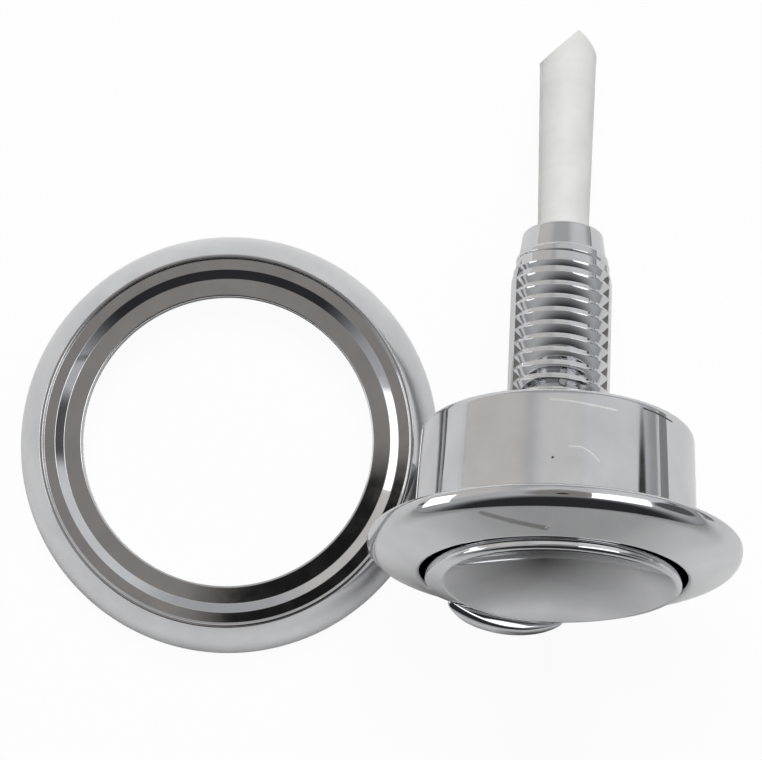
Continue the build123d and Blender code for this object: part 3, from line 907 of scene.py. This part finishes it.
def rod_shape(top, side):
    """Half of the round rod, on one side of the parting."""
    shape = Shape()
    ridge = asin(POINT_OFFSET / ROD_TIP_R)
    reach = acos(ROD_SEAM / 2 / ROD_TIP_R)
    angles = [reach * (2 * k / ROUND_STEPS - 1) for k in range(ROUND_STEPS + 1)]
    nearest = min(range(ROUND_STEPS + 1), key=lambda k: abs(angles[k] - ridge))
    angles[nearest] = ridge

    def loop(level, radius, roof=0.0):
        edge = acos(ROD_SEAM / 2 / radius) / reach
        places = [(radius * cos(a * edge), radius * sin(a * edge)) for a in angles]
        places += [(ROD_SEAM / 2, y) for x, y in places[-2:0:-1]]
        return [(side * x, y, level + roof * (tip_roof(y) - level)) for x, y in places]

    loops = [loop(top, rod_radius(top))]
    shoulder = tip_level + POINT_LONG_SIDE + SMALL_ROUND
    mark = stem_end + RING_MARK_PITCH
    while mark > shoulder + RING_MARK_PITCH / 2:
        for shift, cut_share in RING_MARK_PROFILE:
            level = mark + shift * RING_MARK_WIDTH
            loops.append(loop(level, rod_radius(level) - cut_share * RING_MARK_DEPTH))
        mark -= RING_MARK_PITCH
    for roof in (0, 0.5, 1):
        loops.append(loop(shoulder, rod_radius(shoulder - roof * POINT_LONG_SIDE), roof))
    count = len(loops[0])
    base = (len(loops) - 1) * count
    shape.skin(loops, caps=False)
    shape.faces.append(tuple(range(count)))
    for k in range(ROUND_STEPS):
        inner_a = base + (count - k if k > 0 else 0)
        inner_b = base + (count - k - 1 if k + 1 < ROUND_STEPS else ROUND_STEPS)
        corners = dict.fromkeys((base + k, base + k + 1, inner_b, inner_a))
        shape.faces.append(tuple(corners))
    return shape


for name, top, side in (("full_flush", CAP_UNDER, -1), ("half_flush", arm_top, 1)):
    rod_mesh = to_mesh(name, rod_shape(top, side), button_place)
    to_piece(f"{name}_push_rod", (rod_mesh,), plastic, name, f"{name}_rod")

# %% [markdown]
# ## Return springs
# The springs are coils of round wire between the cup's floor and the caps.

# %% The springs
SPRING_TURN_POINTS, WIRE_SIDES, NO_RUN_OUT = 40, 10, 1e-4


def spring(name, node, x, y, wire, radius, turns):
    foot = floor_level + SPRING_GAP + wire / 2
    length = CAP_UNDER - SPRING_GAP - wire / 2 - foot
    mesh = coil_mesh(
        name, button_place @ Matrix.Translation((x, y, foot)),
        turns=turns, coil_radius=radius, height=length, points_per_turn=SPRING_TURN_POINTS,
        section_points=WIRE_SIDES, section_across=wire / 2, section_along=wire / 2,
        section_turn=0.0, section_taper=0.0, section_lean=0.0, section_round=0.0,
        run_out=NO_RUN_OUT, material=steel,
    )
    piece = to_piece(name, (mesh,), steel, "housing", node)
    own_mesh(piece)


for side, y in (("left", -full_spring_y), ("right", full_spring_y)):
    spring(
        f"full_flush_coil_{side}", f"full_flush_spring_{side}",
        FULL_SPRING_X, y, FULL_WIRE, FULL_COIL_R, FULL_TURNS,
    )
spring(
    "half_flush_coil", "half_flush_spring",
    half_spring_x, 0, HALF_WIRE, HALF_COIL_R, HALF_TURNS,
)

# %% [markdown]
# ## Floor
# The photograph has a plain white ground. Here a matt paper lies under the object and takes
# its shadow, and white is mixed in for the camera. Rays that come from a mirror get only a
# trace of that white: with all of it the chrome turned almost white and lost its form. A
# painted shadow darkens the paper towards the front, and most in a spot before the dish,
# because that is what the dish and the flange mirror.

# %% Floor
FLOOR_SIZE, FLOOR_ROUGHNESS, FLOOR_TONE_SCALE = 1.6, 0.9, 8
FLOOR_TONES = ((0.86, 0.86, 0.855), (0.9, 0.9, 0.9))
half_floor = FLOOR_SIZE / 2
floor_mesh = bpy.data.meshes.new("floor")
floor_mesh.from_pydata([(half_floor * x, half_floor * y, 0) for x, y in SQUARE], [], [(0, 1, 2, 3)])
floor = bpy.data.objects.new("floor", floor_mesh)
bpy.context.scene.collection.objects.link(floor)
paper = bpy.data.materials.new("floor_paper")
paper.use_nodes = True
floor_mesh.materials.append(paper)
paper_tree = paper.node_tree
matt = paper_tree.nodes["Principled BSDF"]
matt.inputs["Roughness"].default_value = FLOOR_ROUGHNESS
matt.inputs["Specular IOR Level"].default_value = 0.0
floor_tone = ramp(paper_tree, noise(paper_tree, FLOOR_TONE_SCALE), *zip(TONE_STOPS, FLOOR_TONES))
print("the floor is", FLOOR_SIZE, "m wide")

# %% Painted shadow on the paper in front
# A painted shadow on the paper: a dark spot before the dish, and darker paper towards the front.
SHADE_CENTRE, SHADE_STRETCH, SHADE_REACH, SHADE_DEPTH = (25.5, -46), (1.25, 0.25), (0, 11), 0.1
FRONT_FAR, FRONT_NEAR, FRONT_SHADOW_DEPTH = -0.16, -0.06, 0.65


def paper_maths(operation, *values, kind="ShaderNodeMath"):
    return add_node(paper_tree, kind, dict(enumerate(values)), operation=operation)


place = add_node(paper_tree, "ShaderNodeTexCoord")["Object"]
stretch = [share / MM for share in SHADE_STRETCH] + [0]
shift = [-c * share for c, share in zip(SHADE_CENTRE, SHADE_STRETCH)] + [0]
across = paper_maths("MULTIPLY_ADD", place, stretch, shift, kind="ShaderNodeVectorMath")["Vector"]
away = paper_maths("LENGTH", across, kind="ShaderNodeVectorMath")["Value"]
# spot is the painted shadow before the dish.
spot = spread(paper_tree, away, SHADE_DEPTH, 1.0, SHADE_REACH)
forward = add_node(paper_tree, "ShaderNodeSeparateXYZ", {"Vector": place})["Y"]
# front is the painted shadow towards the front.
front = spread(paper_tree, forward, FRONT_SHADOW_DEPTH, 1.0, (FRONT_FAR, FRONT_NEAR))
both = paper_maths("MULTIPLY", spot, front)["Value"]
shaded = add_node(
    paper_tree, "ShaderNodeMix", {"Factor": 1.0, "A": floor_tone, "B": both},
    data_type="RGBA", blend_type="MULTIPLY",
)
paper_tree.links.new(shaded["Result"], matt.inputs["Base Color"])
# The print gives how much of the paper's tone each painted shadow leaves.
print("the paper keeps", FRONT_SHADOW_DEPTH, "of its tone in front, and", SHADE_DEPTH, "in the spot")

# %% White for the camera
CAMERA_LIFT, MIRROR_LIFT = 0.95, 0.02
rays = add_node(paper_tree, "ShaderNodeLightPath")
seen = paper_maths("MULTIPLY", rays["Is Camera Ray"], CAMERA_LIFT)["Value"]
mirrored = paper_maths("MAXIMUM", rays["Is Glossy Ray"], rays["Is Transmission Ray"])["Value"]
lift = paper_maths("MULTIPLY_ADD", mirrored, MIRROR_LIFT, seen)["Value"]
white = add_node(paper_tree, "ShaderNodeEmission")["Emission"]
mix_inputs = {"Fac": lift, 1: matt.outputs["BSDF"], 2: white}
mixed = add_node(paper_tree, "ShaderNodeMixShader", mix_inputs)["Shader"]
paper_tree.links.new(mixed, paper_tree.nodes["Material Output"].inputs["Surface"])
print("white for the camera:", CAMERA_LIFT, "and in mirrors:", MIRROR_LIFT)

# %% [markdown]
# ## Light and surroundings
# What the chrome shows is the studio round it: pale walls, a darker patch overhead where
# the camera is, a dark room behind the photographer, and two soft boxes at the sides. The
# world paints the walls as patches round chosen directions. A grey card beside the button,
# which the camera doesn't see, adds dark lines to the body. A third soft box overhead only
# gives light, and doesn't show in the chrome.

# %% A grey card out of sight, for the dark lines in the chrome
FLAG_LEFT, FLAG_RIGHT, FLAG_FRONT, FLAG_BACK, FLAG_LEVEL = 0.165, 0.36, -0.02, 0.3, 0.001
CARD_TONES = ((0.26, 0.26, 0.26), (0.3, 0.3, 0.3))
corners = (
    (FLAG_LEFT, FLAG_FRONT), (FLAG_RIGHT, FLAG_FRONT),
    (FLAG_RIGHT, FLAG_BACK), (FLAG_LEFT, FLAG_BACK),
)
flag_mesh = bpy.data.meshes.new("flag")
flag_mesh.from_pydata([(x, y, FLAG_LEVEL) for x, y in corners], [], [(0, 1, 2, 3)])
flag = bpy.data.objects.new("flag", flag_mesh)
bpy.context.scene.collection.objects.link(flag)
flag.visible_camera = False
card = surface(
    "grey_card", metallic=0.0, tones=CARD_TONES, tone_scale=20,
    roughness=(0.8, 0.9), rough_scale=40, bump_scale=60, bump_depth=1e-5,
)
flag_mesh.materials.append(card)
print("the card lies", round(FLAG_LEFT / MM), "mm to the right of the middle")

# %% A patch of the world
world = bpy.data.worlds.new("studio")
bpy.context.scene.world = world
world.use_nodes = True
sky_tree = world.node_tree
sky_way = add_node(sky_tree, "ShaderNodeTexCoord")["Generated"]


def patch(below, direction, inner, outer, colour):
    """Paints a soft round patch, from full at inner to nothing at outer degrees."""
    centre = Vector(direction).normalized()
    dot_inputs = {0: sky_way, 1: centre}
    dot = add_node(sky_tree, "ShaderNodeVectorMath", dot_inputs, operation="DOT_PRODUCT")
    edge_inputs = {
        "Value": dot["Value"], "From Min": cos(radians(outer)), "From Max": cos(radians(inner)),
    }
    edge = add_node(sky_tree, "ShaderNodeMapRange", edge_inputs, interpolation_type="SMOOTHSTEP")
    mix_inputs = {"Factor": edge["Result"], "A": below, "B": (*colour, 1)}
    return add_node(sky_tree, "ShaderNodeMix", mix_inputs, data_type="RGBA")["Result"]


# %% World
FILL = 0.35
WALL_STOPS = (
    (0.0, (0.36, 0.362, 0.37)), (0.25, (0.43, 0.435, 0.45)),
    (0.85, (0.5, 0.5, 0.51)), (1.0, (0.5, 0.5, 0.5)),
)
SKY_PATCHES = (
    ((-0.8, 0.5, 0.3), 20, 40, (0.62, 0.6, 0.575)),
    ((0.65, 0.5, 0.55), 18, 36, (0.7, 0.71, 0.725)),
    ((0, 0.5, 0.866), 12, 27, (0.68, 0.675, 0.67)),
    ((0, -1, 0.45), 35, 62, (0.03, 0.03, 0.033)),
    ((0, 0.05, 1), 14, 26, (0.27, 0.255, 0.243)),
    ((0, 0, 1), 3.6, 4.6, (0.012, 0.012, 0.012)),
    ((1, 0.0, 0.35), 13, 18, (0.1, 0.1, 0.105)),
    ((0.93, 0.36, 0.225), 3.6, 5.4, (0.05, 0.05, 0.05)),
    ((-1, 0.1, 0.03), 3, 6, (0.06, 0.06, 0.06)),
)
upward = add_node(sky_tree, "ShaderNodeSeparateXYZ", {"Vector": sky_way})["Z"]
walls = ramp(sky_tree, upward, *WALL_STOPS)
for direction, inner, outer, colour in SKY_PATCHES:
    walls = patch(walls, direction, inner, outer, colour)
sky = sky_tree.nodes["Background"]
sky_tree.links.new(walls, sky.inputs["Color"])
sky_rays = add_node(sky_tree, "ShaderNodeLightPath")
strength = spread(sky_tree, sky_rays["Is Diffuse Ray"], 1.0, FILL, (0, 1))
sky_tree.links.new(strength, sky.inputs["Strength"])
print("the world has", len(SKY_PATCHES), "patches and", len(sky_tree.nodes), "nodes")

# %% Soft boxes
LAMP_DISTANCE = 0.9
SOFT_BOXES = (
    ("overhead", (0.05, 0.6, 1.0), 0.5, 0.5, 5.5, False),
    ("left", (-0.966, 0.026, 0.264), 0.55, 0.32, 0.9, True),
    ("right", (0.574, -0.05, 0.819), 0.5, 0.56, 1.35, True),
)
for name, direction, width, height, energy, in_mirrors in SOFT_BOXES:
    light = bpy.data.lights.new(name, "AREA")
    light.shape = "RECTANGLE"
    light.size = width
    light.size_y = height
    light.energy = energy
    lamp = bpy.data.objects.new(name, light)
    bpy.context.scene.collection.objects.link(lamp)
    lamp.location = Vector(direction).normalized() * LAMP_DISTANCE
    lamp.rotation_euler = Vector(direction).to_track_quat("Z", "Y").to_euler()
    lamp.visible_glossy = in_mirrors
    print("soft box", name, "gives", energy, "W")

# %% [markdown]
# ## Camera
# The photograph looks almost straight down. A camera fitted to the outlines of the ring,
# the flange, the stem and the rod gives the distance, the angle and the lens.

# %% Camera
CAMERA_DISTANCE, CAMERA_ELEVATION, CAMERA_LENS = 0.350, 83.9, 114.47
SENSOR_WIDTH, NEAR_CLIP = 36, 0.01
AIM_FROM_RING = Vector((21.78, 9.22, 0)) * MM
aim = ring_centre + AIM_FROM_RING
elevation = radians(CAMERA_ELEVATION)
view = bpy.data.cameras.new("camera")
view.lens = CAMERA_LENS
view.sensor_width = SENSOR_WIDTH
view.clip_start = NEAR_CLIP
camera = bpy.data.objects.new("camera", view)
bpy.context.scene.collection.objects.link(camera)
camera.location = aim + Vector((0, -cos(elevation), sin(elevation))) * CAMERA_DISTANCE
camera.rotation_euler = (pi / 2 - elevation, 0, 0)
bpy.context.scene.camera = camera
bpy.context.scene.view_settings.view_transform = "Standard"
print("the camera stands", round(camera.location.z / MM), "mm above the table")
